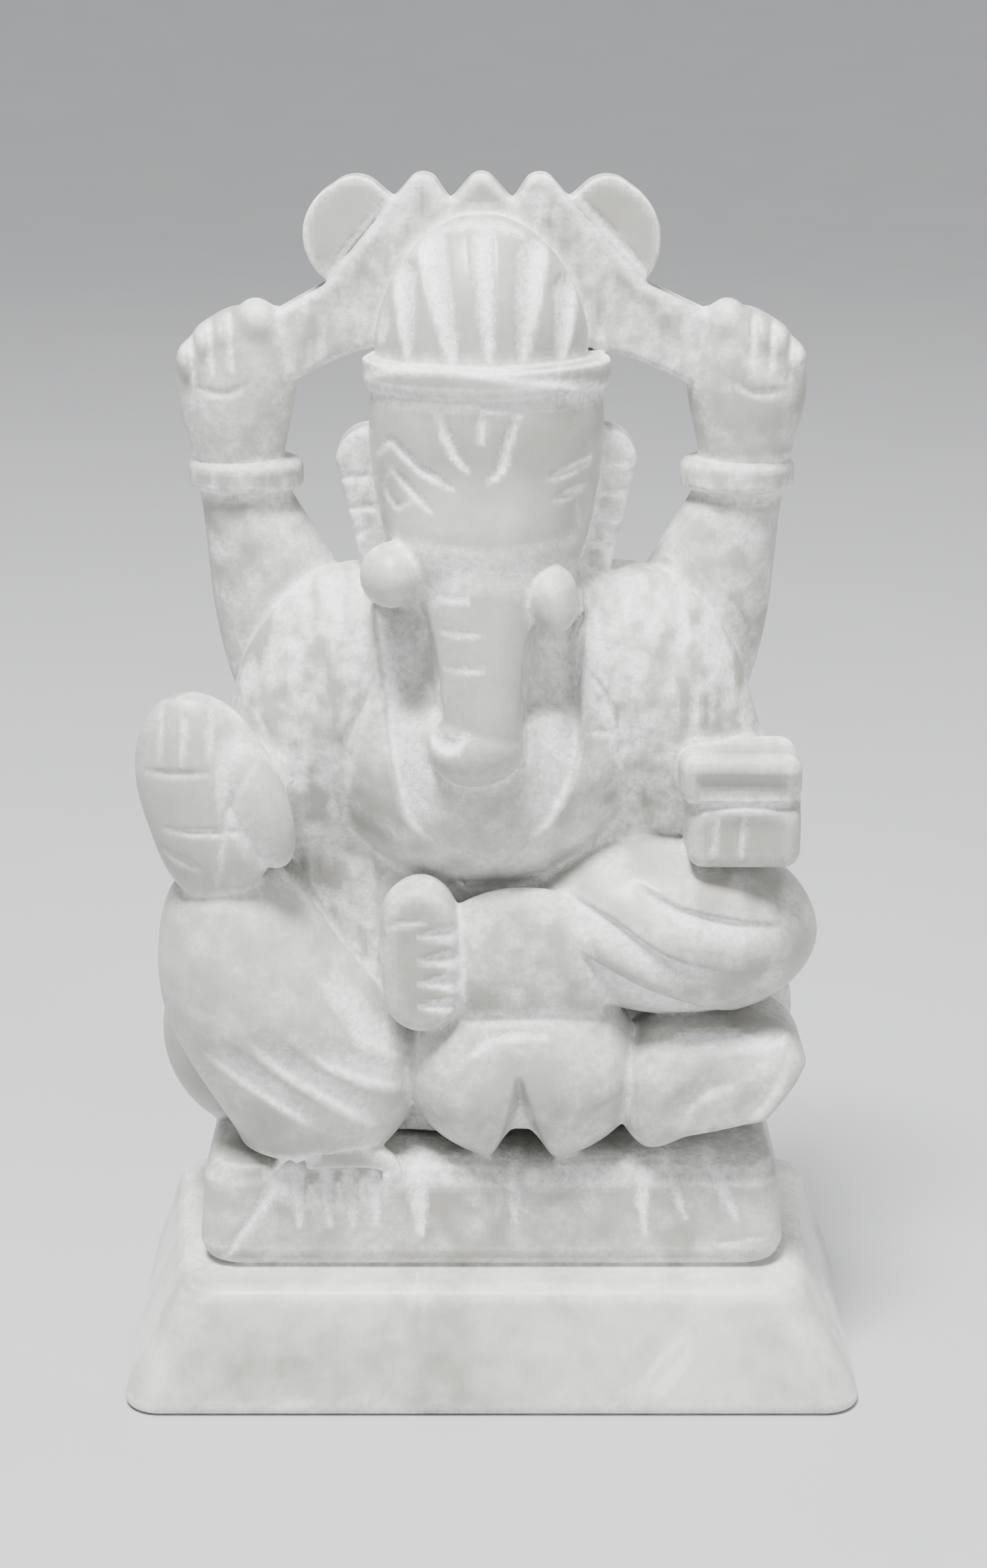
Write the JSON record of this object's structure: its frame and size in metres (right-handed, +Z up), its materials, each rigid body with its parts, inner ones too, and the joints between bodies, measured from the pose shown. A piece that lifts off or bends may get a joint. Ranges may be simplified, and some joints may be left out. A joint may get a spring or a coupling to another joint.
{
  "type": "ganesha idol",
  "caption": "Small carved stone idol of a seated, elephant-headed figure with four arms, on a slab and a sloping plinth.",
  "frame": {"origin": "middle of the plinth's flat underside", "axes": "+Z up, the figure faces -Y, +X to the figure's left"},
  "size_m": [0.063, 0.0334, 0.1],
  "materials": {
    "carved_stone": "white translucent stone, smooth on the high forms and rough from the chisel in the hollows",
    "plinth_stone": "white translucent stone with cloudy veins, sawn and rubbed smooth"
  },
  "bodies": {
    "root": {"belly": "carved_stone", "blessing_hand": "carved_stone", "blessing_thumb": "carved_stone", "centre_drape": "carved_stone", "crown": "carved_stone", "crown_back_peak": "carved_stone", "crown_band": "carved_stone", "folded_thigh": "carved_stone", "head": "carved_stone", "left_axe_blade": "carved_stone", "left_axe_handle": "carved_stone", "left_bangle": "carved_stone", "left_ear": "carved_stone", "left_fist": "carved_stone", "left_foot": "carved_stone", "left_forearm": "carved_stone", "left_hip": "carved_stone", "left_raised_arm": "carved_stone", "left_shin": "carved_stone", "left_tusk": "carved_stone", "left_upper_arm": "carved_stone", "plinth": "plinth_stone", "raised_leg": "carved_stone", "right_axe_blade": "carved_stone", "right_axe_handle": "carved_stone", "right_bangle": "carved_stone", "right_ear": "carved_stone", "right_fist": "carved_stone", "right_foot": "carved_stone", "right_forearm": "carved_stone", "right_hip": "carved_stone", "right_raised_arm": "carved_stone", "right_tusk": "carved_stone", "right_upper_arm": "carved_stone", "seat_slab": "carved_stone", "side_drape": "carved_stone", "sweet": "carved_stone", "sweet_hand": "carved_stone", "torso": "carved_stone", "trunk": "carved_stone"}
  },
  "joints": []
}
